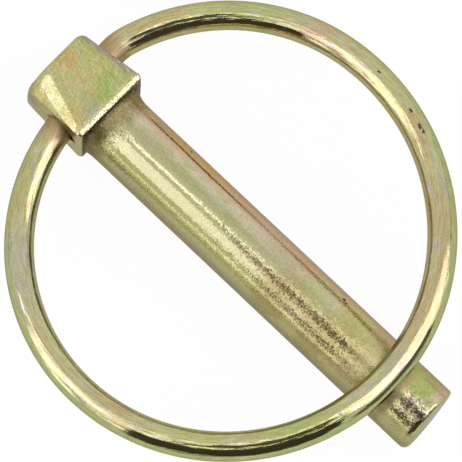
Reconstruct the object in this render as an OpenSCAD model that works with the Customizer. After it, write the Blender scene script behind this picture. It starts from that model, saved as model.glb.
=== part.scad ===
// Lynch pin with a snap ring. The pin lies along +X, head at -X, and the ring lies on its upper side.
// The origin is on the pin's axis, where the full-diameter wall of the shank begins.

/* [Shank] */
// Diameter of the shank
shank_d = 9.5; // [7:0.1:12]
// Radius of the fillet between the head and the shank
fillet_r = 2.3; // [1.4:0.1:2.8]
// How far the tip stands past the middle of the ring's wire
tip_past = 7.4; // [5:0.1:12]
// How much thinner the lead end is than the shank
lead_drop = 0.1; // [0.04:0.02:0.3]
// Radius of the tip's rounded edge
tip_round = 0.8; // [0.4:0.1:1.2]
// How far the cropped tip is off square
tip_skew = 4.7; // [0:0.1:6]

/* [Head] */
// Length of the head, from its top end to the shoulder
head_len = 10.4; // [9:0.1:14]
// How much wider the square head is at the shoulder than the shank
head_over = 1.5; // [0.6:0.1:4]
// How much narrower the head is at its top end
head_draft = 1.5; // [0:0.1:2.4]
// How far the head sits off the shank's axis, at the shoulder
head_shift = 0.5; // [0:0.05:0.8]
// How much of that offset is gone at the top end
shift_lost = 0.35; // [0:0.05:0.5]
// How much shorter the head is along its upper face
top_slope = 0.7; // [0:0.1:1]
// Edge radius around the shoulder
shoulder_edge_r = 0.45; // [0.2:0.05:0.8]
// Edge radius around the top end
top_edge_r = 1.1; // [0.6:0.1:1.5]
// Radius of the one top corner that the dies did not fill
blunt_r = 2.7; // [1.2:0.1:3]

/* [Cross hole] */
// How much wider the hole is than the wire of the ring
hole_play = 0.9; // [0.4:0.05:1.2]
// Distance from the shoulder to the ring's hinge line, on the shank's axis
hinge_back = 4.8; // [4.2:0.1:5.6]
// Angle of the hole off square, which sets its two mouths apart along the head
hole_skew = 10.3; // [0:0.1:12]
// Gap between the ring's ends and the wall of the hole that they lean on
hinge_gap = 0.1; // [0.05:0.05:0.2]

/* [Ring] */
// Diameter of the ring's wire
wire_d = 3.8; // [3:0.1:4]
// Mean radius of the ring's main stretch
ring_r = 26.7; // [22:0.1:34]
// How much tighter the ring is wound beside the head
ring_tight = 0.8; // [0:0.1:1.5]
// Angle of the main stretch, from the lower mouth round past the tip
main_sweep = 203.5; // [195:0.5:210]
// Angle of the flatter stretch after it
flat_sweep = 60.5; // [50:0.5:70]
// Angle of the tighter stretch back towards the head
tight_sweep = 68; // [60:0.5:72]
// Radius of the bend that turns the wire into the upper mouth
bend_r = 7.2; // [5:0.1:8]
// Straight wire between the head's side and that bend
bend_out = 0.2; // [0.1:0.05:1]
// Space between the wire's two ends inside the head
end_gap = 2.9; // [0.5:0.1:5]
// Gap between the closed ring and the shank
ring_gap = 0.1; // [0.05:0.05:0.3]

/* [Hidden] */
$fn = 96;
corner_fn = 24;
plated = [0.72, 0.68, 0.42];
plated_wire = [0.78, 0.76, 0.5];

shank_r = shank_d / 2;
wire_r = wire_d / 2;
head_w = shank_d + head_over;
hole_d = wire_d + hole_play;
shoulder_x = -fillet_r;
top_w = head_w - head_draft;
top_shift = head_shift - shift_lost;
root_lap = 0.6;
neck_trim = 0.15;
hairline = 0.02;
core_len = 0.5;

// Each side of the head slopes by its draft, and by the offset that is lost towards the top end.
side_slope = (head_draft / 2 + shift_lost) / head_len;
lower_slope = (head_draft / 2 - shift_lost) / head_len;
upper_y = head_shift + head_w / 2 - side_slope * hinge_back;
lower_y = head_shift - head_w / 2 + lower_slope * hinge_back;

// The hinge line runs through both mouths of the hole. The ring is drawn about it:
// x is the distance from the hinge line, and y runs along it from the lower mouth to the upper one.
hinge_x = shoulder_x - hinge_back;
hole_offset = hole_d / 2 - wire_r - hinge_gap;
upper_mouth = upper_y / cos(hole_skew);
lower_mouth = lower_y / cos(hole_skew);
end_depth = (upper_mouth - lower_mouth - end_gap) / 2;

// Headings turn from -90, out of the lower mouth, to 270, into the upper one.
h1 = main_sweep - 90;
h2 = h1 + flat_sweep;
h3 = h2 + tight_sweep;
tight_r = ring_r - ring_tight;
// The flatter stretch has the radius that brings the wire back to the hinge line.
flat_reach = ring_r * (sin(h1) + 1) + tight_r * (sin(h3) - sin(h2)) - bend_r * (1 + sin(h3));
flat_r = flat_reach / (sin(h1) - sin(h2));
arcs = [[ring_r, -90, h1], [flat_r, h1, h2], [tight_r, h2, h3], [bend_r, h3, 270]];
bend_y = upper_mouth + bend_out;
span_y = [for (a = arcs) a[0] * (cos(a[1]) - cos(a[2]))];
start_y = bend_y - span_y[0] - span_y[1] - span_y[2] - span_y[3];

// Where the wire crosses over the shank, and the ring's lift that lets it rest there
reach = 2 * ring_r;
cross_y = -reach * tan(hole_skew);
cross_reach = ring_r + sqrt(ring_r * ring_r - pow(cross_y - start_y, 2));
lift = asin((shank_r + wire_r + ring_gap) / cross_reach);
cross_x = hinge_x - cross_y * sin(hole_skew) + cross_reach * cos(lift) * cos(hole_skew);

// The full-diameter wall ends just short of the wire, and the lead end runs on from there to the tip.
lead_clear = 0.4;
lead_x = cross_x - wire_r - lead_clear;
tip_x = cross_x + tip_past;

function arc_start(i) = i == 0 ? [0, start_y] : arc_start(i - 1) + arc_step(arcs[i - 1]);
function arc_step(a) = a[0] * [sin(a[2]) - sin(a[1]), cos(a[1]) - cos(a[2])];
function arc_centre(i) = arc_start(i) + arcs[i][0] * [-sin(arcs[i][1]), cos(arcs[i][1])];

// Turns a shape drawn along +Z to lie along +X
module along_x() {
    rotate([0, 90, 0]) children();
}

// Places a shape drawn about the hinge line, with the hinge along Y
module on_hinge() {
    translate([hinge_x, 0, 0]) rotate([0, 0, hole_skew]) children();
}

module corner_ball(x, side, up, width, shift, r) {
    y = shift + side * (width / 2 - r);
    z = up * (width / 2 - r);
    translate([x, y, z]) sphere(r = r, $fn = corner_fn);
}

// Square forged block, drafted towards its top end, with one blunt corner
module head_block() {
    low_x = shoulder_x - head_len - top_slope / 2;
    high_x = shoulder_x - head_len + top_slope / 2;
    hull() {
        for (side = [-1, 1], up = [-1, 1])
            corner_ball(shoulder_x - shoulder_edge_r, side, up, head_w, head_shift, shoulder_edge_r);
        for (side = [-1, 1])
            corner_ball(low_x + top_edge_r, side, -1, top_w, top_shift, top_edge_r);
        corner_ball(high_x + top_edge_r, 1, 1, top_w, top_shift, top_edge_r);
        corner_ball(high_x + blunt_r, -1, 1, top_w, top_shift, blunt_r);
    }
}

// Half outline of the shank, in its own plane: the fillet, the full wall, the lead end and the rounded tip
module shank_outline() {
    root = shoulder_x - root_lap;
    flare_r = shank_r + fillet_r;
    lead_r = shank_r - lead_drop / 2;
    round_x = tip_x - tip_round;
    edge = [for (a = [0:15:90]) [lead_r - tip_round * (1 - cos(a)), round_x + tip_round * sin(a)]];
    difference() {
        polygon([[0, root], [flare_r, root], [flare_r, 0], [shank_r, 0], [shank_r, lead_x], each edge, [0, tip_x]]);
        translate([flare_r, 0]) circle(r = fillet_r);
    }
}

// Shank with the fillet below the shoulder, cropped a little off square at the tip
module shank() {
    trim = head_w / 2 - neck_trim;
    block = head_w;
    difference() {
        along_x() rotate_extrude() shank_outline();
        // the fillet goes no wider than the head's own sides
        for (side = [-1, 1]) {
            translate([shoulder_x - block, head_shift + side * (trim + block / 2) - block / 2, -block])
                cube([block - 0.01 + fillet_r, block, block * 2]);
            translate([shoulder_x - block, -block, side * (trim + block / 2) - block / 2])
                cube([block - 0.01 + fillet_r, block * 2, block]);
        }
        // the cropped end leans back towards the upper side
        translate([tip_x, -shank_r + tip_round, -shank_d]) rotate([0, 0, tip_skew])
            translate([0, -shank_d, 0]) cube([shank_d, shank_d * 3, shank_d * 2]);
    }
}

// Forged pin: head, neck and shank in one piece, with the hole across the head
module pin_body() {
    color(plated) difference() {
        union() {
            head_block();
            shank();
        }
        on_hinge() translate([hole_offset, 0, 0]) rotate([90, 0, 0])
            cylinder(d = hole_d, h = head_w * 2, center = true);
    }
}

// Straight wire along the hinge line, from y0 to y1
module straight_wire(y0, y1) {
    translate([0, y0, 0]) rotate([-90, 0, 0]) cylinder(r = wire_r, h = y1 - y0);
}

// One bent stretch of wire, which stops half a hairline short of the next at both ends
module bent_wire(i) {
    a = arcs[i];
    c = arc_centre(i);
    short = asin(hairline / 2 / a[0]);
    translate([c[0], c[1], 0]) rotate([0, 0, a[1] - 90 + short])
        rotate_extrude(angle = a[2] - a[1] - 2 * short) translate([a[0], 0]) circle(r = wire_r);
}

// Core of the wire where two stretches meet
module seam_core(i) {
    p = arc_start(i);
    heading = i < 4 ? arcs[i][1] : 270;
    translate([p[0], p[1], 0]) rotate([0, 90, heading])
        cylinder(r = wire_r - hairline, h = core_len, center = true);
}

// One length of spring wire, wound nearly round, with both ends in the head's hole
module snap_ring() {
    color(plated_wire) on_hinge() rotate([0, -lift, 0]) {
        straight_wire(start_y + hairline / 2, lower_mouth + end_depth);
        straight_wire(upper_mouth - end_depth, bend_y - hairline / 2);
        for (i = [0:3]) bent_wire(i);
        for (i = [0:4]) seam_core(i);
    }
}

pin_body();
snap_ring();
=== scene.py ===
import math

import bmesh
import bpy
from mathutils import Matrix, Vector, noise


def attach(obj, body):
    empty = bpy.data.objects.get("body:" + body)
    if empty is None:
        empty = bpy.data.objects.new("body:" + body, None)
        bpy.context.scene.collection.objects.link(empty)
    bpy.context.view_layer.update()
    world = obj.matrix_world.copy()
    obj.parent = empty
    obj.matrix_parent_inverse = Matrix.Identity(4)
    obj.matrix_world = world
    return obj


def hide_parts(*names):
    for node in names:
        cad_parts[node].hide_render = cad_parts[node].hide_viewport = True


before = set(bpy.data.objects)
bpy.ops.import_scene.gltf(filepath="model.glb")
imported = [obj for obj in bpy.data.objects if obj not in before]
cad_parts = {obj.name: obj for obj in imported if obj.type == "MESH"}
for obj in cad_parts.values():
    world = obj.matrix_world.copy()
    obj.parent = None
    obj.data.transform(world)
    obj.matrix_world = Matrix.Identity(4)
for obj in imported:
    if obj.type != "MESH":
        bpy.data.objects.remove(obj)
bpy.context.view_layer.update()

scene = bpy.context.scene
mm = 0.001
samePoint = 1e-3  # points nearer to each other than this, in mm, are one point
print("frame loaded")


def ease(low, high, x):
    t = min(1.0, max(0.0, (x - low) / (high - low)))
    return t * t * (3 - 2 * t)


def between(a, b, share):
    return a + (b - a) * share


def only(kind, geom):
    return [g for g in geom if isinstance(g, kind)]


def extruded(bm, edges):
    grown = bmesh.ops.extrude_edge_only(bm, edges=edges)["geom"]
    return only(bmesh.types.BMEdge, grown), only(bmesh.types.BMVert, grown)


def closeEnds(bm):
    bmesh.ops.holes_fill(bm, edges=[e for e in bm.edges if e.is_boundary])
    bmesh.ops.recalc_face_normals(bm, faces=bm.faces)


def newPiece(name, bm, finish):
    mesh = bpy.data.meshes.new(name)
    bm.to_mesh(mesh)
    bm.free()
    mesh.shade_smooth()
    piece = bpy.data.objects.new(name, mesh)
    scene.collection.objects.link(piece)
    mesh.materials.append(finish)
    return piece


# A shader socket that adds and multiplies as a number does; node() makes any other node.
class Wired:
    def __init__(self, tree, socket=None):
        self.tree = tree
        self.socket = socket

    def node(self, kind, settings=None, sockets=None, out=0):
        made = self.tree.nodes.new(kind)
        for name, value in (settings or {}).items():
            if name == "stops":
                stops = made.color_ramp.elements
                stops[0].position, stops[0].color = value[0]
                stops[1].position, stops[1].color = value[-1]
                for place, colour in value[1:-1]:
                    stops.new(place).color = colour
            else:
                setattr(made, name, value)
        for name, value in (sockets or {}).items():
            if isinstance(value, Wired):
                self.tree.links.new(value.socket, made.inputs[name])
            else:
                made.inputs[name].default_value = value
        return Wired(self.tree, made.outputs[out] if len(made.outputs) else None)

    def sums(self, operation, a, b=0.0):
        return self.node("ShaderNodeMath", {"operation": operation}, {0: a, 1: b})

    def __add__(self, other):
        return self.sums("ADD", self, other)

    def __radd__(self, other):
        return self.sums("ADD", other, self)

    def __sub__(self, other):
        return self.sums("SUBTRACT", self, other)

    def __rsub__(self, other):
        return self.sums("SUBTRACT", other, self)

    def __mul__(self, other):
        return self.sums("MULTIPLY", self, other)

    def __rmul__(self, other):
        return self.sums("MULTIPLY", other, self)

    def __abs__(self):
        return self.sums("ABSOLUTE", self)


def newFinish(name):
    material = bpy.data.materials.new(name)
    material.use_nodes = True
    material.node_tree.nodes.clear()
    return material, Wired(material.node_tree)


def past(net, value, limit, pattern=None):
    # 0 below a soft limit and 1 above it; where the limit has a third number, a pattern carries it to and fro
    low, high, wander = (*limit, 0.0)[:3]
    if wander:
        value = (pattern - 0.5) * wander + value
    return net.node("ShaderNodeMapRange", {"interpolation_type": "SMOOTHSTEP"},
                    {"Value": value, "From Min": low, "From Max": high})


def mixed(net, share, a, b, blend="MIX"):
    # sockets 6 and 7 of a Mix node take its colours, and its result 2 gives one
    return net.node("ShaderNodeMix", {"data_type": "RGBA", "blend_type": blend}, {0: share, 6: a, 7: b}, 2)


def tint(red, green, blue):
    # 0 to 255 as a screen shows it, to the linear colour that a socket takes
    return (*(((c / 255 + 0.055) / 1.055) ** 2.4 for c in (red, green, blue)), 1.0)


def stained(net, share, colour, stain):
    return mixed(net, share, colour, tint(*stain))


def filmRamp(net, stops, value):
    stops = [(place, tint(*colour)) for place, colour in stops]
    return net.node("ShaderNodeValToRGB", {"stops": stops}, {"Fac": value})


# Camera: in mm, with its roll in degrees and its clip in metres
camera = {
    "place": (96.939, -108.480, 584.846),
    "target": (18.801, 0.4405, 0.012),
    "roll": 43.28,
    "lens": 369.05, "sensor": 36, "clip": (0.01, 20),
}


def setCamera():
    place, target = Vector(camera["place"]) * mm, Vector(camera["target"]) * mm
    ahead = (target - place).normalized()
    level = Vector((1, 0, 0))
    level = (level - ahead * level.dot(ahead)).normalized()
    drop = ahead.cross(level)
    turn = math.radians(camera["roll"])
    right = level * math.cos(turn) - drop * math.sin(turn)
    down = level * math.sin(turn) + drop * math.cos(turn)
    data = bpy.data.cameras.new("camera")
    data.sensor_width = camera["sensor"]
    data.lens = camera["lens"]
    data.clip_start, data.clip_end = camera["clip"]
    made = bpy.data.objects.new("camera", data)
    scene.collection.objects.link(made)
    made.matrix_world = Matrix.Translation(place) @ Matrix((right, -down, -ahead)).transposed().to_4x4()
    scene.camera = made
    return right, down, -ahead


right, down, towards = setCamera()
print("camera set")


# Studio: a white world and floor, with soft boxes and dark cards hung round the object. An outline is in
# degrees from the line to the lens, across and then down; far is in mm, and a nearer card hides the ones
# behind it. Level 1 is the white of the world.
studio = {
    "centre": (18, 0, 0),
    "daylight": 0.65,
    "cuts": 7,
    "cards": [
        {"name": "leftBox", "far": 480, "level": 2.3, "shade": (1.0, 0.98, 1.16),
         "outline": [(-25, -16.5), (-56, -9), (-72, 4), (-75, 20), (-70, 34), (-57, 41), (-44, 54),
                     (-39, 42), (-32, 24), (-28, 10), (-22, -3)]},
        {"name": "rightBox", "far": 480, "level": 2.5, "shade": (1.0, 0.98, 1.16),
         "outline": [(3, -12), (9, -19), (22, -26), (56, -25), (78, -9), (66, 5), (58, 9), (45, 17),
                     (40, 28), (24, 16), (14, 2)]},
        {"name": "topStrip", "far": 470, "level": 2.7, "shade": (1.0, 0.98, 1.1),
         "outline": [(-56, -17.5), (-24, -23), (-17, -17.5), (4, -18), (6, -14), (-16, -13.2),
                     (-23, -19.5), (-54, -14.5)]},
        {"name": "lowStrip", "far": 440, "level": 2.0, "shade": (1.0, 0.98, 0.98),
         "outline": [(-26, 11), (-13, 13), (4, 15), (17, 8), (24, 15), (14, 26), (4, 27), (-14, 25), (-28, 19)]},
        {"name": "coreCard", "far": 450, "level": 0.14, "shade": (1.0, 0.92, 0.8),
         "outline": [(-20, -11), (4, -12), (10, -2), (17, 8), (4, 15), (-13, 13), (-26, 11), (-18, 2)]},
        {"name": "deskCard", "far": 420, "level": 0.075, "shade": (1.0, 0.9, 0.78),
         "outline": [(-33, 20), (-28, 20), (-14, 25.5), (4, 27.5), (14, 27), (24, 17), (30, 30), (37, 48),
                     (39, 70), (40, 95), (-52, 95), (-50, 62), (-40, 36)]},
        {"name": "standCard", "far": 450, "level": 0.62, "shade": (1.0, 0.97, 0.8),
         "outline": [(-62, 12), (-50, 19), (-38, 19), (-33, 22), (-34, 31), (-48, 34), (-54, 32), (-62, 21)]},
        {"name": "softBox", "far": 440, "level": 1.75, "shade": (1.0, 0.98, 1.12),
         "outline": [(-14.3, 1.6), (-22.5, -6), (-33.4, 6), (-46, 20.5), (-41, 25.5), (-25.6, 14)]},
        {"name": "coreEdge", "far": 445, "level": 0.95, "shade": (1.0, 0.97, 0.88),
         "outline": [(-23, -13), (-9, -12.5), (-10, -4), (-15, 0.5), (-22.5, -6)]},
        {"name": "stepCard", "far": 445, "level": 0.92, "shade": (1.0, 0.99, 0.85),
         "outline": [(-42.5, 28), (-49, 20.5), (-61, 31), (-51, 38)]},
        {"name": "railCard", "far": 445, "level": 0.8, "shade": (1.0, 0.99, 0.88),
         "outline": [(-53, 40.5), (-62, 34), (-79, 50), (-70, 60)]},
        {"name": "sideCard", "far": 430, "level": 0.2, "shade": (0.92, 0.88, 1.0),
         "outline": [(58, 9), (66, 5), (82, 14), (89, 32), (73, 50), (54, 62), (44, 52), (40, 40), (47, 27)]},
        {"name": "rightFrame", "far": 430, "level": 0.35, "shade": (1.0, 0.97, 0.8),
         "outline": [(56, -13), (81, -53), (85, -52), (60, -10)]},
        {"name": "leftFrame", "far": 430, "level": 0.4, "shade": (1.0, 0.97, 0.8),
         "outline": [(-66, -70), (-83, -46), (-85, -14), (-92, -14), (-93, -48), (-74, -76)]},
    ],
}


def studioPlace(across, drop, far):
    turn = math.radians(math.hypot(across, drop))
    side = (right * across + down * drop).normalized()
    return Vector(studio["centre"]) * mm + (towards * math.cos(turn) + side * math.sin(turn)) * far * mm


def seenRays(net, gloss=1.0):
    # 1 for what the lens sees, gloss for what a shine or a glass sees, 0 for soft light
    path = net.node("ShaderNodeLightPath", None, None, "Is Camera Ray")
    outs = path.socket.node.outputs
    return path + (Wired(net.tree, outs["Is Glossy Ray"]) + Wired(net.tree, outs["Is Transmission Ray"])) * gloss


def glowing(net, colour, level):
    return net.node("ShaderNodeEmission", None, {"Color": (*colour, 1), "Strength": level})


def setWorld():
    world = bpy.data.worlds.new("white")
    scene.world = world
    world.use_nodes = True
    world.node_tree.nodes.clear()
    net = Wired(world.node_tree)
    level = studio["daylight"] + seenRays(net) * (1 - studio["daylight"])
    light = net.node("ShaderNodeBackground", None, {"Color": (1, 1, 1, 1), "Strength": level})
    net.node("ShaderNodeOutputWorld", None, {"Surface": light})


def setCards():
    for card in studio["cards"]:
        material, net = newFinish(card["name"])
        net.node("ShaderNodeOutputMaterial", None, {"Surface": glowing(net, card["shade"], card["level"])})
        bm = bmesh.new()
        bm.faces.new([bm.verts.new((across, drop, 0)) for across, drop in card["outline"]])
        bmesh.ops.triangulate(bm, faces=bm.faces)
        bmesh.ops.subdivide_edges(bm, edges=bm.edges, cuts=studio["cuts"], use_grid_fill=True)
        for vert in bm.verts:
            vert.co = studioPlace(vert.co.x, vert.co.y, card["far"])
        made = newPiece(card["name"], bm, material)
        made.visible_camera = False
        made.visible_shadow = False
        made.visible_diffuse = card["level"] > 1  # the dark cards show only as reflections


# The floor, in mm, is low enough for the ring at the far end of its swing, where it reaches 9.06 mm down.
floorLook = {"height": -9.1, "half": 3000, "colour": 0.86, "glow": 0.95, "gloss": 0.6}


def setFloor():
    material, net = newFinish("paleFloor")
    shade = floorLook["colour"]
    matt = net.node("ShaderNodeBsdfDiffuse", None, {"Color": (shade, shade, shade, 1)})
    white = glowing(net, (1, 1, 1), 1.0)
    seen = seenRays(net, floorLook["gloss"]) * floorLook["glow"]
    both = net.node("ShaderNodeMixShader", None, {0: seen, 1: matt, 2: white})
    net.node("ShaderNodeOutputMaterial", None, {"Surface": both})
    bm = bmesh.new()
    bmesh.ops.create_grid(bm, x_segments=1, y_segments=1, size=floorLook["half"] * mm)
    bmesh.ops.translate(bm, vec=(0, 0, floorLook["height"] * mm), verts=bm.verts)
    newPiece("floor", bm, material)


setWorld()
setCards()
setFloor()
print("studio set")


# Yellow passivated zinc plating: a thin coloured film over bright metal. Patterns are in mm, and colours are
# 0 to 255 as a screen shows them.
plating = {
    "noiseSpread": 2.5,  # noise keeps within about 0.2 of its middle, and this widens it to 0.5
    "stainCore": 0.35,  # share of a stain's reach that it covers in full
    "markCore": 0.4,  # the same for a pit or a nick
}


def vectors(net, operation, sockets, out="Vector"):
    return net.node("ShaderNodeVectorMath", {"operation": operation}, sockets, out)


def patched(net, colour, place, warp, patches):
    # soft-edged stains of the film, each with its middle, its reach, its colour and how far it covers
    for middle, reach, stain, share in patches:
        away = vectors(net, "DISTANCE", {0: place, 1: middle}, "Value") + warp
        cover = (1 - past(net, away, (reach * plating["stainCore"], reach))) * share
        colour = stained(net, cover, colour, stain)
    return colour


def marked(net, place, warp, marks):
    # where the pits or nicks are, each with its middle and its reach
    cover = 0.0
    for middle, reach in marks:
        away = vectors(net, "DISTANCE", {0: place, 1: middle}, "Value") + warp
        cover = 1 - past(net, away, (reach * plating["markCore"], reach)) + cover
    return cover


def noiseOf(net, place, scale, detail=2.0, stretch=None, twist=0.0):
    if stretch:
        place = net.node("ShaderNodeMapping", None, {"Vector": place, "Scale": stretch})
    sockets = {"Vector": place, "Scale": scale, "Detail": detail, "Distortion": twist}
    return net.node("ShaderNodeTexNoise", None, sockets)


def swayed(patterns, amounts):
    # the patterns, each by its own amount to either side of 0
    total = 0.0
    for pattern, amount in zip(patterns, amounts):
        total = (pattern - 0.5) * amount + total
    return total


def lightened(net, colour, pattern, amount):
    # the colour times 1, plus and minus half the amount
    value = (pattern - 0.5) * plating["noiseSpread"] * amount + 1
    grey = net.node("ShaderNodeCombineXYZ", None, {"X": value, "Y": value, "Z": value})
    return mixed(net, 1.0, colour, grey, "MULTIPLY")


def metalShader(net, colour, rough, height, place, jitter, look):
    # every crystal of the zinc leans its own way by up to half the jitter, and the bump lies over that
    cell = net.node("ShaderNodeTexVoronoi", None, {"Vector": place, "Scale": look["crystal"]}, "Color")
    lean = vectors(net, "SUBTRACT", {0: cell, 1: (0.5, 0.5, 0.5)})
    lean = vectors(net, "SCALE", {0: lean, "Scale": jitter})
    flat = net.node("ShaderNodeNewGeometry", None, None, "Normal")
    flat = vectors(net, "NORMALIZE", {0: vectors(net, "ADD", {0: flat, 1: lean})})
    bump = net.node("ShaderNodeBump", None, {
        "Strength": 1.0, "Distance": look["bumpDepth"] * mm, "Height": height, "Normal": flat,
    })
    shader = net.node("ShaderNodeBsdfPrincipled", None, {
        "Base Color": colour, "Metallic": 1.0, "Roughness": rough, "Normal": bump,
        "Specular Tint": look["edgeTint"], "Coat Weight": look["coat"],
        "Coat Roughness": look["coatRough"], "Coat IOR": look["coatIor"],
    })
    net.node("ShaderNodeOutputMaterial", None, {"Surface": shader})


# Pin: one loft from the tip to the top end of the head, in mm. Corners are numbered from the (+Y, +Z)
# one round through (-Y, +Z); share 0 is the shoulder and share 1 the top end.
pin = {
    "radius": 4.75, "leadRadius": 4.70, "leadStart": 44.2, "leadSoft": 0.3,
    # the cropped end: its skew comes in along the wall, and its edge is rounder on the -Y side than on the +Y side.
    # The smallest ring here, as at the top end, is merged to a point.
    "end": 54.0, "endSkew": 4.7, "skewFrom": (49.0, 53.1), "endRound": (1.05, 0.35),
    "endDome": 0.05, "endRings": (1e-4, 0.3, 0.6, 0.85), "endInset": 0.85, "edgeSteps": 8, "edgeLong": 1.2,
    "shoulder": -2.3, "length": 10.2, "topSlope": 0.35,
    "shift": (0.5, 0.15), "halfY": (5.62, 4.95), "halfZ": (5.5, 4.72),
    # at the shoulder and at the top end: how far each corner reaches along the side before it and the one after
    "corners": [((0.40, 0.40), (1.00, 1.05)), ((0.32, 0.34), (3.35, 2.15)),
                ((0.25, 0.25), (0.75, 0.75)), ((0.45, 0.45), (1.10, 1.10))],
    "cornerShrinks": 0.6, "cornerLeast": 0.08,
    # the one that the dies left flat: a narrow band at a low slope (drop per run), as wide as the crease leaves it,
    # and then a steep face with a slight swell
    "flatCorner": 1, "creaseGrows": 0.68, "creaseFrom": 0.14, "bandSlope": 0.40, "bandMost": 0.8,
    "steepCrowding": 1.6, "swell": 0.04,
    # distance from the shoulder and how far in from the head's side
    "shoulderBevel": ((0.0, 0.40), (0.05, 0.30), (0.12, 0.22), (0.22, 0.16), (0.38, 0.10), (0.55, 0.045), (0.72, 0.0)),
    # the top end's rounding, and the corner where it is blunter, by how far up and out a point lies
    "topRound": 1.0, "bluntMore": 0.5, "bluntUp": (1.0, 4.5), "bluntOut": (-2.0, -4.5),
    "topDome": 0.15, "topRings": (0.9, 0.75, 0.55, 0.3, 1e-4), "topSteps": 10, "stations": 24, "crown": 0.05,
    "filletLong": 2.3, "filletWide": 2.3, "filletSteps": 14, "filletOrder": 4, "shoulderRings": (0.5, 1.0),
    "seamAngle": 40.5, "seamDepth": 0.022, "seamWidth": 0.10, "seamFrom": (0.8, 3), "seamTo": (46, 50),
    "arcSteps": 20, "sideSteps": 28, "arcSpread": 8, "crowding": 0.7, "step": 0.4,
    "uneven": (0.006, 0.035), "unevenFrom": (-2.6, 0.5), "unevenScale": 0.45,
    # the cross hole: places along it, with the slope that keeps a ring of the cutter level with the side it leaves by
    "holeRadius": 2.35, "holeAt": (-6.756, 0.0626), "holeSkew": 10.3, "holeRim": 0.18, "holeRimSteps": 6,
    "lowerMouth": (-5.05, -0.213), "upperMouth": (5.73, -0.083), "holeMiddle": ((-2.0, -0.1), (2.0, -0.05)),
    "holeOver": 2.5, "holeAround": 64,
}


def aroundPin():
    places = []
    spread = pin["arcSpread"]
    for corner in range(4):
        middle = 45 + 90 * corner
        for a in range(pin["arcSteps"] + 1):
            share = a / pin["arcSteps"]
            places.append((corner, True, share, middle + spread * (2 * share - 1)))
        for s in range(1, pin["sideSteps"]):
            share = s / pin["sideSteps"]
            places.append((corner, False, share, middle + spread + share * (90 - 2 * spread)))
    return places


def headCorner(corner, share, inset):
    # the corner's own point, and how far its rounding reaches back and on from there
    halfY = between(*pin["halfY"], share) - inset
    halfZ = between(*pin["halfZ"], share) - inset
    signs = ((1, 1), (-1, 1), (-1, -1), (1, -1))[corner]
    back = Vector(((0, -1), (1, 0), (0, 1), (-1, 0))[corner])
    on = Vector(((-1, 0), (0, -1), (1, 0), (0, 1))[corner])
    low, high = pin["corners"][corner]
    first, second = (max(between(a, b, share) - pin["cornerShrinks"] * inset, pin["cornerLeast"])
                     for a, b in zip(low, high))
    point = Vector((between(*pin["shift"], share) + signs[0] * halfY, signs[1] * halfZ))
    return point, back * first, on * second


def crowded(t):
    # draws points towards both ends of a side, where it turns
    return between(t, ease(0, 1, t), pin["crowding"])


def headOutline(place, share, inset):
    corner, onCorner, t, angle = place
    point, back, on = headCorner(corner, share, inset)
    if onCorner and corner == pin["flatCorner"]:
        rest = max(0.0, share - pin["creaseFrom"]) * pin["creaseGrows"]
        drop = min(back.length * (1 - rest) * pin["bandSlope"], on.length * pin["bandMost"])
        crease = point + back * rest + on.normalized() * drop
        if t < 0.5:
            return (point + back).lerp(crease, crowded(2 * t))
        u = (2 * t - 1) ** pin["steepCrowding"]
        out = -(back.normalized() + on.normalized()) * pin["swell"] * share
        return crease.lerp(point + on, u) + out * 4 * u * (1 - u)
    if onCorner:
        turn = math.radians(90 * t)
        return point + back * (1 - math.sin(turn)) + on * (1 - math.cos(turn))
    start = point + on
    point, back, on = headCorner((corner + 1) % 4, share, inset)
    out = Vector(((0, 1), (-1, 0), (0, -1), (1, 0))[corner])
    t = crowded(t)
    return start.lerp(point + back, t) + out * pin["crown"] * 4 * t * (1 - t)


def topRoundAt(place):
    # the upper corner of the top end is blunter on the -Y side
    y, z = headOutline(place, 1, 0)
    return pin["topRound"] + pin["bluntMore"] * ease(*pin["bluntUp"], z) * ease(*pin["bluntOut"], y)


def headPoint(place, share, inset):
    y, z = headOutline(place, share, inset)
    x = pin["shoulder"] - share * pin["length"] + pin["topSlope"] * share * z / pin["halfZ"][1]
    return Vector((x, y, z))


def wallPoint(angle, x, r):
    # the two parting lines are half a turn apart, and the end's skew comes in over the last of the wall
    away = math.radians(angle - pin["seamAngle"])
    away = math.atan2(math.sin(2 * away), math.cos(2 * away)) / 2
    seam = pin["seamDepth"] * math.exp(-(away * pin["radius"] / pin["seamWidth"]) ** 2)
    r -= seam * ease(*pin["seamFrom"], x) * (1 - ease(*pin["seamTo"], x))
    y, z = math.cos(math.radians(angle)) * r, math.sin(math.radians(angle)) * r
    skew = math.tan(math.radians(pin["endSkew"])) * ease(*pin["skewFrom"], x)
    return Vector((x - (y + pin["radius"]) * skew, y, z))


def edgePoint(angle, share):
    # the end's rounded edge, from share 1 on the end face to share 0 on the wall
    size = between(*pin["endRound"], ease(-1, 1, math.cos(math.radians(angle))))
    turn = math.radians(90 * share)
    return wallPoint(angle, pin["end"] - size * (1 - math.sin(turn)), pin["leadRadius"] - size * (1 - math.cos(turn)))


def shankSections(places):
    radius, lead = pin["radius"], pin["leadRadius"]
    leadStart, soft, step = pin["leadStart"], pin["leadSoft"], pin["step"]
    angles = [place[3] for place in places]
    sections = []

    def wall(x, r):
        sections.append([wallPoint(angle, x, r) for angle in angles])

    for share in pin["endRings"]:
        wall(pin["end"] + pin["endDome"] * (1 - share * share), share * (lead - pin["endInset"]))
    for k in range(pin["edgeSteps"] + 1):
        sections.append([edgePoint(angle, 1 - k / pin["edgeSteps"]) for angle in angles])
    x = pin["end"] - pin["edgeLong"]
    while x > leadStart + 2 * soft:
        wall(x, lead)
        x -= step
    for x in (leadStart + soft, leadStart, leadStart - soft):
        wall(x, between(radius, lead, ease(leadStart - soft, leadStart + soft, x)))
    x = leadStart - 2 * soft
    while x > step / 2:
        wall(x, radius)
        x -= step
    wall(0, radius)
    return sections


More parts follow.
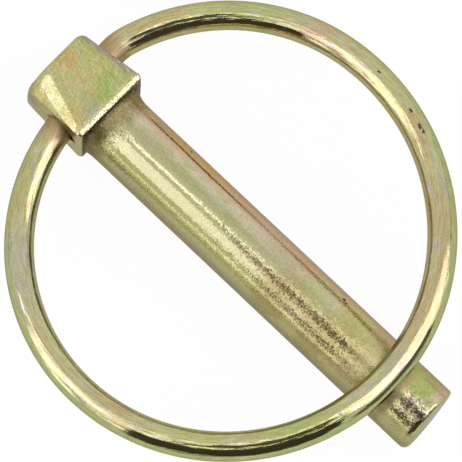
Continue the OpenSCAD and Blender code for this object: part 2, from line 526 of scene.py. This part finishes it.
def filletSections(places, roots):
    # elliptical where the head stands only a little proud of the shank
    order = pin["filletOrder"]
    lips = []
    for place, root in zip(places, roots):
        target = headOutline(place, 0, pin["shoulderBevel"][0][1])
        start = Vector((root.y, root.z))
        gap = target - start
        reach = gap.length / (1 + (gap.length / pin["filletWide"]) ** order) ** (1 / order)
        lips.append((start, gap.normalized() * reach, target))
    sections = []
    for k in range(1, pin["filletSteps"] + 1):
        turn = math.radians(90 * k / pin["filletSteps"])
        x = -pin["filletLong"] * math.sin(turn)
        sections.append([Vector((x, *(start + rise * (1 - math.cos(turn))))) for start, rise, target in lips])
    for share in pin["shoulderRings"]:
        sections.append([Vector((pin["shoulder"], *(start + rise).lerp(target, share)))
                         for start, rise, target in lips])
    return sections


def headSections(places):
    sections = []
    for away, inset in pin["shoulderBevel"][1:]:
        x = pin["shoulder"] - away
        sections.append([Vector((x, *headOutline(place, 0, inset))) for place in places])
    sizes = [topRoundAt(place) / pin["length"] for place in places]
    first = pin["shoulderBevel"][-1][0] / pin["length"]
    for k in range(1, pin["stations"] + 1):
        sections.append([headPoint(place, between(first, 1 - size, k / pin["stations"]), 0)
                         for place, size in zip(places, sizes)])
    for k in range(1, pin["topSteps"] + 1):
        turn = math.radians(90 * k / pin["topSteps"])
        sections.append([headPoint(place, 1 - size * (1 - math.sin(turn)), size * pin["length"] * (1 - math.cos(turn)))
                         for place, size in zip(places, sizes)])
    rim = sections[-1]
    middle = sum(rim, Vector()) / len(rim)
    for size in pin["topRings"]:
        dome = Vector((pin["topDome"] * (1 - size * size), 0, 0))
        sections.append([middle.lerp(p, size) - dome for p in rim])
    return sections


def pinSections():
    places = aroundPin()
    shank = shankSections(places)
    return shank + filletSections(places, shank[-1]) + headSections(places)


def loft(sections):
    bm = bmesh.new()
    made = bmesh.ops.create_circle(bm, segments=len(sections[0]), radius=1)
    loop = list(made["verts"])
    for vert, place in zip(loop, sections[0]):
        vert.co = place
    edges = list(bm.edges)
    for section in sections[1:]:
        edges, fresh = extruded(bm, edges)
        fresh = set(fresh)
        after = []
        for vert, place in zip(loop, section):
            new = next(e.other_vert(vert) for e in vert.link_edges if e.other_vert(vert) in fresh)
            new.co = place
            after.append(new)
        loop = after
    bmesh.ops.remove_doubles(bm, verts=bm.verts, dist=samePoint)
    bmesh.ops.recalc_face_normals(bm, faces=bm.faces)
    return bm


def roughenForging(bm):
    # the dies leave the head's faces a little uneven, and the shank hardly so
    bm.normal_update()
    moves = []
    for vert in bm.verts:
        head = 1 - ease(*pin["unevenFrom"], vert.co.x)
        amount = between(*pin["uneven"], head) * noise.noise(vert.co * pin["unevenScale"])
        moves.append((vert, vert.normal * amount))
    for vert, move in moves:
        vert.co += move


def holeCutter():
    turn = math.radians(pin["holeSkew"])
    along = Vector((-math.sin(turn), math.cos(turn), 0))
    across = Vector((math.cos(turn), math.sin(turn), 0))
    centre = Vector((*pin["holeAt"], 0))
    radius, rim, over = pin["holeRadius"], pin["holeRim"], pin["holeOver"]
    lower, lowerSlope = pin["lowerMouth"]
    upper, upperSlope = pin["upperMouth"]
    sines = [math.sin(math.radians(90 * k / pin["holeRimSteps"])) for k in range(pin["holeRimSteps"] + 1)]
    rims = [(rim * s, radius + rim * (1 - s) * (1 - s)) for s in sines]
    rings = [(lower - over, radius + rim, lowerSlope)]
    rings += [(lower + deep, size, lowerSlope) for deep, size in rims]
    rings += [(away, radius, slope) for away, slope in pin["holeMiddle"]]
    rings += [(upper - deep, size, upperSlope) for deep, size in reversed(rims)]
    rings.append((upper + over, radius + rim, upperSlope))
    sections = []
    for away, size, slope in rings:
        section = []
        for k in range(pin["holeAround"]):
            a = 2 * math.pi * k / pin["holeAround"]
            c, s = size * math.cos(a), size * math.sin(a)
            section.append(centre + across * c + along * (away + slope * c) + Vector((0, 0, s)))
        sections.append(section)
    bm = loft(sections)
    closeEnds(bm)
    return bm


def cutPiece(piece, bm):
    cutter = newPiece("cutter", bm, piece.data.materials[0])
    cut = piece.modifiers.new("cut", "BOOLEAN")
    cut.operation = "DIFFERENCE"
    cut.solver = "EXACT"
    cut.object = cutter
    shape = piece.evaluated_get(bpy.context.evaluated_depsgraph_get())
    mesh = bpy.data.meshes.new_from_object(shape)
    piece.modifiers.clear()
    old = piece.data
    piece.data = mesh
    mesh.name = old.name
    bpy.data.meshes.remove(old)
    bpy.data.objects.remove(cutter)
    mesh.shade_smooth()


# A limit, such as headTo, is where a mask starts to change and where it stops: in mm along X unless a note says
# otherwise. Where it has a third number, that is how far a pattern carries it to and fro.
pinLook = {
    "broad": {"scale": 0.55, "stretch": (0.35, 1.0, 1.0), "twist": 0.5},
    "mottle": {"scale": 1.5, "detail": 3.0, "stretch": (0.7, 1.0, 1.0)},
    "fleck": {"scale": 3.6},
    # film round the shank, by the angle from straight up towards +Y, and how far broad and mottle push it round.
    # Besides the plating's own colour, the ramp holds painted reflections and shade: the -Y side darker towards its
    # edge, its dip at -48, and the darker stop at 8
    "shankFilmAndPaintedLight": [
        (-180, (168, 166, 112)), (-95, (148, 144, 116)), (-76, (153, 147, 112)),
        (-66, (165, 160, 114)), (-58, (175, 172, 118)), (-48, (166, 164, 104)),
        (-38, (180, 177, 122)), (-22, (184, 181, 134)), (-6, (186, 183, 138)),
        (2, (178, 175, 130)), (8, (168, 165, 118)), (12, (174, 171, 130)),
        (17, (190, 185, 148)), (25, (204, 191, 160)), (31, (203, 179, 152)),
        (36, (196, 170, 140)), (40, (190, 160, 130)), (46, (196, 165, 126)),
        (54, (192, 163, 128)), (70, (184, 163, 130)), (100, (166, 156, 112)),
        (180, (168, 166, 112)),
    ],
    "filmSway": (12, 12),
    # green and grey clouds between the crown and the parting line: from one angle to another, and where the cloud
    # pattern is high or low
    "cloud": {"scale": 0.8, "stretch": (0.45, 1.0, 1.0), "twist": 0.6},
    "cloudFrom": (-4.0, 4.0), "cloudTo": (26.0, 33.0), "cloudShare": 0.5,
    "greenFrom": (0.52, 0.66), "cloudGreen": (160, 168, 96),
    "greyTo": (0.32, 0.44), "cloudGrey": (178, 184, 154),
    # painted dark reflection along the crown of the second half, in brown: its middle and half its width are angles
    "crownAt": -12.5, "crownHalf": (1.5, 9.0), "crownFrom": (17.0, 27.0, 8.0), "crownTo": (41.0, 45.0, 4.0),
    "crownShare": 0.7, "crownDarkReflection": (146, 124, 86),
    "shankStainsAndReflections": [
        ((7.0, 4.6, 1.2), 4.2, (196, 160, 98), 0.6), ((12.5, 4.6, 1.2), 4.0, (200, 160, 100), 0.6),
        ((39.0, 1.0, 4.6), 4.5, (184, 190, 112), 0.7), ((33.0, 1.5, 4.5), 3.5, (176, 186, 124), 0.6),
        ((27.0, 1.2, 4.6), 3.0, (172, 178, 128), 0.6), ((44.0, 0.8, 4.7), 4.5, (182, 170, 112), 0.6),
        ((31.0, -2.2, 4.2), 6.0, (176, 160, 112), 0.6), ((39.0, -2.0, 4.3), 6.0, (172, 156, 108), 0.65),
        ((29.0, -3.1, 3.6), 4.5, (148, 136, 84), 0.6), ((36.0, -3.1, 3.6), 4.5, (150, 136, 86), 0.6),
        ((49.8, 2.6, 3.8), 3.2, (160, 178, 92), 0.8), ((50.5, 4.2, 2.0), 2.4, (166, 150, 108), 0.6),
        ((47.6, -1.6, 4.3), 3.2, (176, 152, 108), 0.8), ((50.5, -3.6, 3.0), 3.0, (164, 156, 100), 0.6),
        # the two dark purple stains by the tip, at 50.8 and 52.3, are a painted dark reflection
        ((50.8, -0.9, 4.6), 1.3, (112, 96, 98), 0.8), ((52.3, -0.9, 4.6), 1.2, (112, 96, 98), 0.8),
        ((51.6, -2.6, 3.9), 1.5, (128, 120, 66), 0.6), ((47.6, 1.6, 4.4), 2.0, (186, 158, 116), 0.6),
        ((5.0, 0.5, 4.7), 3.2, (176, 172, 132), 0.5), ((25.0, 3.2, 3.4), 5.0, (192, 170, 146), 0.45),
    ],
    "shankSway": (5.0, 4.0),  # how far mottle and broad carry those stains
    # film over the head, how far broad, mottle and fleck vary it, and how far mottle and fleck carry its stains
    "headTo": (-2.4, -1.4),
    "headFilm": [
        (0.25, (186, 166, 116)), (0.42, (190, 178, 120)), (0.52, (188, 184, 122)),
        (0.62, (176, 179, 116)), (0.78, (184, 176, 142)),
    ],
    "filmSpread": (1.0, 0.7, 0.12),
    "headStainsAndHighlight": [
        ((-4.4, 2.6, 5.4), 3.0, (154, 172, 96), 0.8), ((-3.6, 0.4, 5.4), 2.2, (160, 174, 98), 0.75),
        ((-3.4, -1.6, 5.4), 1.9, (162, 161, 140), 0.8), ((-5.3, -3.0, 5.2), 1.8, (192, 168, 114), 0.5),
        ((-11.0, 1.2, 4.8), 2.4, (190, 158, 104), 0.65), ((-8.6, 4.0, 4.8), 2.4, (178, 178, 106), 0.6),
        ((-8.0, -0.6, 5.0), 1.7, (198, 178, 128), 0.6), ((-11.2, -4.4, 2.6), 2.0, (172, 172, 96), 0.7),
        # the three pale cream stains from here on, at y -2.9 to -4.9, lie on the flat corner's band: partly the film's
        # colour, partly a painted highlight
        ((-10.6, -2.9, 4.7), 1.5, (200, 196, 148), 0.75), ((-8.2, -3.7, 4.8), 1.5, (200, 196, 150), 0.75),
        ((-3.6, -4.9, 5.2), 1.0, (200, 196, 150), 0.75), ((-12.4, -4.4, 0.5), 3.4, (156, 145, 136), 0.9),
        ((-8.5, 5.0, 4.0), 1.3, (166, 152, 140), 0.7),
    ],
    "headSway": (2.4, 1.0),
    # the head's +Y side, measured outwards from a plane that leans as the side does
    "rimLean": 0.1, "rimGreenFrom": (4.7, 5.1, 0.7), "rimGreenShare": 0.6, "rimGreen": (166, 168, 98),
    "rimGreyFrom": (5.4, 5.7, 0.7), "rimGreyShare": 0.95, "rimGrey": (156, 145, 130),
    # brown flecks by the fleck pattern, the cropped end, the painted highlight along the shoulder edge, and the
    # painted shade inside the hole out from its axis
    "fleckFrom": (0.5, 0.8), "fleckShare": 0.35, "fleckBrown": (150, 128, 92),
    "cropFrom": (53.72, 53.86), "tipEnd": (176, 172, 124),
    "edgeFrom": (-3.8, -2.9, 1.6), "edgeShare": 0.6, "highlightAndScratchCream": (208, 202, 156),
    "holeTo": (2.38, 2.5), "holeShare": 0.9, "holePaintedShade": (58, 48, 28),
    # brown recess under the head, partly the plating's matte brown and partly painted shade, and painted shade darkest
    # right under the edge
    "recessFrom": (-2.42, -2.2), "recessTo": (-1.4, 1.6, 1.6), "recessShare": 0.85, "recessBrownAndShade": (122, 108, 58),
    "underFrom": (-2.42, -2.3), "underTo": (-2.2, -1.5, 0.5), "underShare": 0.85, "underEdgeShade": (62, 50, 28),
    "speckle": {"scale": 6.5, "detail": 1.0, "stretch": (0.6, 1.0, 1.0)}, "speckleLight": 0.26,
    # marks that run two ways over the head: how far each way is turned, how thin they are and how strong each way is
    "markTurns": (-24, 16), "markDepth": 0.4,
    "brush": {"scale": 6.5, "detail": 1.0}, "brushThin": 0.12, "brushShares": (0.5, 0.5), "brushLight": 0.4,
    "scratch": {"scale": 5.0, "detail": 0.0}, "scratchThin": 0.07, "scratchShares": (0.6, 1.0),
    "scratchFrom": (0.96, 1.05), "scratchLight": 0.5,
    # dark thread of film along the dies' parting line: half its width is an angle, and it breaks where broad is low
    "seamSway": 2.0, "seamHalf": (0.3, 0.75), "seamFrom": (0.34, 0.46), "seamShare": 0.65,
    "seamBrown": (112, 74, 60),
    "pits": [((8.4, 3.9, 2.75), 0.26), ((35.6, 3.35, 3.35), 0.34), ((36.1, 3.2, 3.5), 0.2)],
    "pitSway": 0.3, "pitDepth": 2.0, "pitBrown": (70, 52, 40),
    # places where the metal is rougher or its crystals lean more: the -Y side, by angle, the second half of the
    # shank, its root, the tip, and the stretch that the ring has worn
    "lowSideTo": (-50.0, -41.0), "farFrom": (8.0, 30.0, 16.0), "rootTo": (0.0, 3.4, 3.0), "tipFrom": (46.0, 48.0),
    "wornFrom": (39.5, 42.5, 4.0), "wornTo": (48.4, 49.6, 1.5),
    "rough": 0.11, "roughPart": 0.08, "headRough": 0.18, "roughRecess": 0.34, "roughCrop": 0.12,
    "roughSide": 0.16, "roughFar": 0.05, "roughWorn": 0.18,
    "crystal": 5.2, "jitterNear": 0.035, "jitterFar": 0.10, "jitterRoot": 0.18, "jitterSide": 0.05,
    "jitterTip": 0.10, "jitterHead": 0.045, "jitterEdge": 0.24,
    "grain": {"scale": 4.2, "detail": 1.0}, "grainDepth": 2.0, "dents": {"scale": 1.1}, "dentDepth": 1.3,
    "brushDepth": 0.3, "bumpDepth": 0.058,
    "edgeTint": (0.58, 0.55, 0.44, 1.0), "coat": 0.12, "coatRough": 0.22, "coatIor": 1.6,
}


def shankFilmAndPaintedLight(net, place, x, straight, broad, mottle):
    look = pinLook
    turn = swayed((broad, mottle), look["filmSway"]) + straight
    stops = [((angle + 180) / 360, colour) for angle, colour in look["shankFilmAndPaintedLight"]]
    # the ramp paints reflections and shade round the shank as well as the plating's colour
    film = filmRamp(net, stops, turn * (1 / 360) + 0.5)
    cloud = noiseOf(net, place, **look["cloud"])
    upper = past(net, straight, look["cloudFrom"]) * (1 - past(net, straight, look["cloudTo"])) * look["cloudShare"]
    film = stained(net, past(net, cloud, look["greenFrom"]) * upper, film, look["cloudGreen"])
    film = stained(net, (1 - past(net, cloud, look["greyTo"])) * upper, film, look["cloudGrey"])
    # the crown band is a painted dark reflection
    crown = 1 - past(net, abs(turn - look["crownAt"]), look["crownHalf"])
    crown = crown * past(net, x, look["crownFrom"], mottle) * (1 - past(net, x, look["crownTo"], mottle))
    film = stained(net, crown * look["crownShare"], film, look["crownDarkReflection"])
    return patched(net, film, place, swayed((mottle, broad), look["shankSway"]), look["shankStainsAndReflections"])


def headFilm(net, place, x, y, broad, mottle, fleck):
    look = pinLook
    spread = swayed((broad, mottle, fleck), look["filmSpread"]) + 0.5
    film = filmRamp(net, look["headFilm"], spread)
    film = patched(net, film, place, swayed((mottle, fleck), look["headSway"]), look["headStainsAndHighlight"])
    out = y - x * look["rimLean"]
    green = past(net, out, look["rimGreenFrom"], mottle) * look["rimGreenShare"]
    film = stained(net, green, film, look["rimGreen"])
    grey = past(net, out, look["rimGreyFrom"], mottle) * look["rimGreyShare"]
    return stained(net, grey, film, look["rimGrey"])


def holeShade(net, x, y, z):
    # 1 inside the cross hole, by the distance from its axis, where shade is painted
    turn = math.radians(pin["holeSkew"])
    away = (x - pin["holeAt"][0]) * math.cos(turn) + (y - pin["holeAt"][1]) * math.sin(turn)
    return 1 - past(net, net.sums("SQRT", away * away + z * z), pinLook["holeTo"])


def crossedMarks(net, place, thin, shares, pattern):
    total = 0.0
    stretches = ((1.0, thin, pinLook["markDepth"]), (thin, 1.0, pinLook["markDepth"]))
    for turn, stretch, share in zip(pinLook["markTurns"], stretches, shares):
        turned = net.node("ShaderNodeMapping", None, {"Vector": place, "Rotation": (0, 0, math.radians(turn))})
        total = noiseOf(net, turned, stretch=stretch, **pattern) * share + total
    return total


def platePin():
    look = pinLook
    material, net = newFinish("forgedPlating")
    place = net.node("ShaderNodeTexCoord", None, None, "Object")
    place = vectors(net, "SCALE", {0: place, "Scale": 1 / mm})
    x, y, z = (net.node("ShaderNodeSeparateXYZ", None, {"Vector": place}, axis) for axis in "XYZ")
    broad, mottle, fleck = (noiseOf(net, place, **look[name]) for name in ("broad", "mottle", "fleck"))
    straight = net.sums("ARCTAN2", y, z) * (180 / math.pi)
    onHead = 1 - past(net, x, look["headTo"])
    shank = shankFilmAndPaintedLight(net, place, x, straight, broad, mottle)
    colour = mixed(net, onHead, shank, headFilm(net, place, x, y, broad, mottle, fleck))
    colour = stained(net, past(net, fleck, look["fleckFrom"]) * look["fleckShare"], colour, look["fleckBrown"])

    # cropped end, painted highlight along the shoulder edge, painted shade inside the hole, and the brown and painted
    # shade under the head
    squared = x + (y + pin["radius"]) * math.tan(math.radians(pin["endSkew"]))
    cropped = past(net, squared, look["cropFrom"])
    colour = stained(net, cropped, colour, look["tipEnd"])
    # a painted highlight along the shoulder edge, in cream; the scratches take the same cream
    nearEdge = past(net, x, look["edgeFrom"], fleck) * onHead
    colour = stained(net, nearEdge * look["edgeShare"], colour, look["highlightAndScratchCream"])
    # painted shade inside the hole
    colour = stained(net, holeShade(net, x, y, z) * look["holeShare"], colour, look["holePaintedShade"])
    # painted shade in the recess under the head, over its matte brown plating, and darkest right under the edge
    recessBrownAndShade = past(net, x, look["recessFrom"]) * (1 - past(net, x, look["recessTo"], mottle + fleck - 0.5))
    colour = stained(net, recessBrownAndShade * look["recessShare"], colour, look["recessBrownAndShade"])
    underShade = past(net, x, look["underFrom"]) * (1 - past(net, x, look["underTo"], fleck))
    colour = stained(net, underShade * look["underShare"], colour, look["underEdgeShade"])

    # fine speckle of the forging, stronger in the recess, and brush marks and scratches on the head
    speckle = noiseOf(net, place, **look["speckle"])
    colour = lightened(net, colour, speckle, (recessBrownAndShade + 1) * look["speckleLight"])
    brush = crossedMarks(net, place, look["brushThin"], look["brushShares"], look["brush"])
    colour = lightened(net, colour, brush, onHead * look["brushLight"])
    scratch = crossedMarks(net, place, look["scratchThin"], look["scratchShares"], look["scratch"])
    scratch = past(net, scratch, look["scratchFrom"]) * onHead
    colour = stained(net, scratch * look["scratchLight"], colour, look["highlightAndScratchCream"])

    thread = abs(straight - pin["seamAngle"] + (mottle - 0.5) * look["seamSway"])
    thread = (1 - past(net, thread, look["seamHalf"])) * past(net, broad, look["seamFrom"]) * (1 - onHead)
    colour = stained(net, thread * look["seamShare"], colour, look["seamBrown"])
    pitted = marked(net, place, (fleck - 0.5) * look["pitSway"], look["pits"])
    colour = stained(net, pitted, colour, look["pitBrown"])

    lowSide = 1 - past(net, straight, look["lowSideTo"])
    far = past(net, x, look["farFrom"], broad)
    root = 1 - past(net, x, look["rootTo"], mottle)
    onTip = past(net, x, look["tipFrom"])
    worn = past(net, x, look["wornFrom"], mottle) * (1 - past(net, x, look["wornTo"], fleck))
    rough = onHead * (look["headRough"] - look["rough"]) + look["rough"] + (mottle - 0.5) * look["roughPart"]
    rough = rough + cropped * look["roughCrop"] + recessBrownAndShade * look["roughRecess"] + lowSide * look["roughSide"]
    rough = rough + far * (1 - onHead) * look["roughFar"] + worn * (onTip + 1) * look["roughWorn"]
    jitter = far * (look["jitterFar"] - look["jitterNear"]) + look["jitterNear"]
    jitter = jitter + root * look["jitterRoot"] + lowSide * look["jitterSide"]
    jitter = jitter * (1 - onHead) * (1 - onTip) + onHead * look["jitterHead"]
    jitter = jitter + onTip * (1 - worn) * look["jitterTip"] + nearEdge * look["jitterEdge"]
    height = noiseOf(net, place, **look["grain"]) * jitter * look["grainDepth"] - pitted * look["pitDepth"]
    onFaces = noiseOf(net, place, **look["dents"]) * look["dentDepth"] + brush * look["brushDepth"]
    metalShader(net, colour, rough, height + onFaces * onHead, place, jitter, look)
    return material


def makePin():
    bm = loft(pinSections())
    roughenForging(bm)
    piece = newPiece("forgedPin", bm, platePin())
    cutPiece(piece, holeCutter())
    piece.data.transform(Matrix.Scale(mm, 4))
    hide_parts("pin_body")
    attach(piece, "pin")
    return piece


forgedPin = makePin()
print("pin made", len(forgedPin.data.polygons), "faces")


# Ring: one wire swept through the head's two mouths, in mm, in the ring's own plane
ring = {
    "wireRadius": 1.9, "around": 48, "lowerEnd": -1.105, "upperEnd": 1.795, "endTaper": 0.9, "endChamfer": 0.15,
    "startY": -6.045, "bendY": 5.782, "straightSteps": 10,
    # radius, and the wire's heading at the start and at the end of each arc
    "arcs": [(26.7, -90, 113.5), (30.4814, 113.5, 174.0), (25.9, 174.0, 242.0), (7.2, 242.0, 270.0)],
    "hingeX": -7.1, "skew": 10.3, "lift": 7.2965, "stepLength": 0.45,
}

# Patterns on the wire lie on wirePlace: length along the wire, the shift outwards and the height, in mm.
wireLook = {
    "broad": {"scale": 0.5, "stretch": (0.16, 1.0, 1.0), "twist": 0.4},
    "mottle": {"scale": 1.6, "detail": 3.0, "stretch": (0.5, 1.0, 1.0)},
    "drawn": {"scale": 4.4, "stretch": (0.05, 1.0, 1.0)},
    "fleck": {"scale": 4.2},
    # film, how far broad, mottle, drawn and fleck vary it, and how far the first three carry its stains
    "film": [
        (0.24, (184, 150, 118)), (0.34, (188, 170, 112)), (0.43, (194, 187, 136)),
        (0.50, (186, 184, 150)), (0.57, (170, 180, 94)), (0.64, (194, 192, 154)),
        (0.72, (184, 172, 170)),
    ],
    "filmSpread": (0.6, 0.8, 1.3, 0.7),
    "stains": [
        ((24.0, -0.4, 1.85), 6.5, (178, 172, 160), 0.45), ((72.0, -1.3, 1.4), 6.5, (164, 184, 108), 0.6),
        ((58.0, -1.0, 1.6), 6.0, (176, 182, 112), 0.5), ((92.0, -0.5, 1.8), 9.0, (188, 166, 122), 0.6),
        ((106.0, 0.3, 1.9), 8.0, (182, 162, 116), 0.55), ((86.0, -1.2, 1.5), 3.5, (172, 172, 144), 0.6),
        ((148.0, 1.2, 1.5), 7.0, (170, 182, 110), 0.6), ((137.0, 1.0, 1.6), 3.0, (196, 166, 140), 0.6),
        ((12.0, 0.8, 1.7), 6.0, (170, 170, 110), 0.5), ((124.0, 0.8, 1.7), 5.0, (182, 182, 120), 0.5),
        ((45.0, -1.0, 1.6), 6.0, (178, 164, 116), 0.45),
    ],
    "stainSway": (6.0, 9.0, 10.0),
    "outerFrom": (0.7, 1.6, 1.2), "outerShare": 0.6, "outerGreen": (158, 172, 106),
    "innerTo": (-1.9, -1.2, 1.2), "innerShare": 0.5, "innerOlive": (166, 162, 108),
    "fleckFrom": (0.5, 0.72, 0.4), "fleckShare": 0.45, "fleckBrown": (150, 136, 96),
    # near the mouths the tan is a painted reflection of the head
    "lowerMouthTo": (4.4, 7.6, 3.0), "upperMouthFrom": (162.6, 164.6, 3.0),
    "mouthShare": 0.8, "mouthReflectionTan": (164, 138, 96),
    "speckle": {"scale": 5.5, "detail": 1.0, "stretch": (0.1, 1.0, 1.0)}, "speckleLight": 0.3,
    # nicks are drawn out along the wire
    "nicks": [((118.7, 0.42, 1.84), 0.34), ((117.9, 0.50, 1.83), 0.27), ((121.1, 0.40, 1.85), 0.27),
              ((127.6, 0.3, 1.87), 0.16)],
    "nickStretch": 0.5, "nickSway": 0.6, "nickDepth": 1.5, "nickGrey": (74, 66, 60),
    "rough": 0.075, "roughPart": 0.09, "mouthRough": 0.5, "dullRough": 0.03, "dullTo": (10.0, 22.0, 8.0),
    "crystal": 5.0, "crystalStretch": 0.15, "jitter": 0.008,
    "drawnDepth": 1.5, "mottleDepth": 0.4, "fleckDepth": 0.15, "bumpDepth": 0.02,
    "edgeTint": (0.56, 0.54, 0.40, 1.0), "coat": 0.12, "coatRough": 0.1, "coatIor": 1.6,
}


def plateWire():
    look = wireLook
    material, net = newFinish("wirePlating")
    place = net.node("ShaderNodeAttribute", {"attribute_name": "wirePlace"}, None, "Vector")
    length, across = (net.node("ShaderNodeSeparateXYZ", None, {"Vector": place}, axis) for axis in "XY")
    broad, mottle, drawn, fleck = (noiseOf(net, place, **look[name]) for name in ("broad", "mottle", "drawn", "fleck"))
    spread = swayed((broad, mottle, drawn, fleck), look["filmSpread"]) + 0.5
    colour = filmRamp(net, look["film"], spread)
    colour = patched(net, colour, place, swayed((broad, mottle, drawn), look["stainSway"]), look["stains"])
    outer = past(net, across, look["outerFrom"], broad) * look["outerShare"]
    colour = stained(net, outer, colour, look["outerGreen"])
    inner = (1 - past(net, across, look["innerTo"], broad)) * look["innerShare"]
    colour = stained(net, inner, colour, look["innerOlive"])
    flecked = past(net, fleck, look["fleckFrom"], drawn) * look["fleckShare"]
    colour = stained(net, flecked, colour, look["fleckBrown"])
    # tan near both mouths is a painted reflection of the head in the wire, and the wire is rougher there
    mouth = 1 - past(net, length, look["lowerMouthTo"], mottle) + past(net, length, look["upperMouthFrom"], mottle)
    colour = stained(net, mouth * look["mouthShare"], colour, look["mouthReflectionTan"])
    colour = lightened(net, colour, noiseOf(net, place, **look["speckle"]), look["speckleLight"])

    shrink = look["nickStretch"]
    shrunk = net.node("ShaderNodeMapping", None, {"Vector": place, "Scale": (shrink, 1.0, 1.0)})
    nicks = [((along * shrink, out, up), reach) for (along, out, up), reach in look["nicks"]]
    nicked = marked(net, shrunk, (fleck - 0.5) * look["nickSway"], nicks)
    colour = stained(net, nicked, colour, look["nickGrey"])

    dull = (1 - past(net, length, look["dullTo"], mottle)) * (1 - mouth) * look["dullRough"]
    rough = mouth * (look["mouthRough"] - look["rough"]) + look["rough"] + dull + (mottle - 0.5) * look["roughPart"]
    height = drawn * look["drawnDepth"] + fleck * look["fleckDepth"] + mottle * look["mottleDepth"]
    height = height - nicked * look["nickDepth"]
    crystals = net.node("ShaderNodeMapping", None, {"Vector": place, "Scale": (look["crystalStretch"], 1.0, 1.0)})
    metalShader(net, colour, rough, height, crystals, look["jitter"], look)
    return material


def makeRing():
    bm = bmesh.new()
    bmesh.ops.create_circle(bm, segments=ring["around"], radius=ring["wireRadius"])
    layer = bm.verts.layers.float_vector.new("wirePlace")
    bmesh.ops.rotate(bm, cent=(0, 0, 0), matrix=Matrix.Rotation(math.radians(90), 3, "X"), verts=bm.verts)
    bmesh.ops.translate(bm, vec=(0, ring["lowerEnd"], 0), verts=bm.verts)
    tagged = set()

    def tag(place):
        for vert in bm.verts:
            if vert not in tagged:
                vert[layer] = place(vert.co)
                tagged.add(vert)

    def pulled(edges, length, run, side):
        # straight wire, always towards -Y; side is where its outer side is along X
        step = run / ring["straightSteps"]
        for k in range(ring["straightSteps"]):
            edges, verts = extruded(bm, edges)
            bmesh.ops.translate(bm, vec=(0, -step, 0), verts=verts)
            length += step
            tag(lambda p: (length, side * p.x, p.z))
        return edges, length

    tag(lambda p: (0.0, p.x, p.z))
    edges, length = pulled(list(bm.edges), 0.0, ring["lowerEnd"] - ring["startY"], 1)
    spot = Vector((0, ring["startY"], 0))
    for radius, fromTurn, toTurn in ring["arcs"]:
        a, b = math.radians(fromTurn), math.radians(toTurn)
        centre = spot + Vector((-math.sin(a), math.cos(a), 0)) * radius
        geom = edges + list(dict.fromkeys(v for e in edges for v in e.verts))
        spun = bmesh.ops.spin(bm, geom=geom, cent=centre, axis=(0, 0, 1), dvec=(0, 0, 0), angle=b - a,
                              space=Matrix.Identity(4), steps=round(radius * (b - a) / ring["stepLength"]),
                              use_merge=False, use_normal_flip=False, use_duplicate=False)
        edges = only(bmesh.types.BMEdge, spun["geom_last"])

        def place(p):
            out = p - centre
            heading = math.atan2(out.x, -out.y)
            while heading < a - 0.5:  # the arc's own turn, with half a radian to spare
                heading += 2 * math.pi
            return (length + radius * (heading - a), math.hypot(out.x, out.y) - radius, p.z)

        tag(place)
        length += radius * (b - a)
        spot = centre + Vector((math.sin(b), -math.cos(b), 0)) * radius
    pulled(edges, length, ring["bendY"] - ring["upperEnd"], -1)

    # cropped ends with a small chamfer
    for end, sign in ((ring["lowerEnd"], 1), (ring["upperEnd"], -1)):
        rim = [e for e in bm.edges if e.is_boundary and abs(e.verts[0].co.y - end) < samePoint]
        verts = extruded(bm, rim)[1]
        middle = sum((v.co for v in verts), Vector()) / len(verts)
        for v in verts:
            v.co = middle.lerp(v.co, ring["endTaper"]) + Vector((0, sign * ring["endChamfer"], 0))
    closeEnds(bm)
    skewed = Matrix.Rotation(math.radians(ring["skew"]), 4, "Z")
    lifted = Matrix.Rotation(math.radians(-ring["lift"]), 4, "Y")
    stand = Matrix.Scale(mm, 4) @ Matrix.Translation((ring["hingeX"], 0, 0)) @ skewed @ lifted
    bmesh.ops.transform(bm, matrix=stand, verts=bm.verts)
    piece = newPiece("springRing", bm, plateWire())
    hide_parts("snap_ring")
    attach(piece, "ring")
    return piece


springRing = makeRing()
print("ring made", len(springRing.data.polygons), "faces")

scene.view_settings.view_transform = "Standard"
